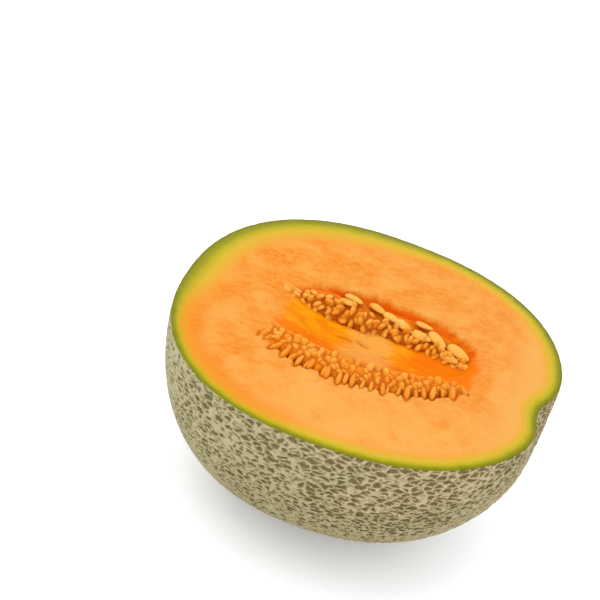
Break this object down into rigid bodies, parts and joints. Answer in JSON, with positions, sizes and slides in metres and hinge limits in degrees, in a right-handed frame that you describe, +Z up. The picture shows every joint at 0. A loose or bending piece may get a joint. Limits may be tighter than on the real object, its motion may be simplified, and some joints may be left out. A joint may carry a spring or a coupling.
{
  "type": "melon half",
  "caption": "Half of a netted cantaloupe melon, cut from end to end, lying on its round back with the seeds still in its hollow.",
  "frame": {"origin": "middle of the small flat spot under the rind that the half rests on", "axes": "+Z up, square to the level cut face; +X along the melon's axis from the blossom end to the stem end"},
  "size_m": [0.1571, 0.1623, 0.0796],
  "materials": {
    "rind_and_flesh": "dry corky net over green rind outside, moist orange flesh on the cut face",
    "seeds": "wet cream seeds in orange pulp"
  },
  "bodies": {
    "root": {"melon_half": "rind_and_flesh", "seed_lobe_back": "seeds", "seed_lobe_front": "seeds"}
  },
  "joints": []
}
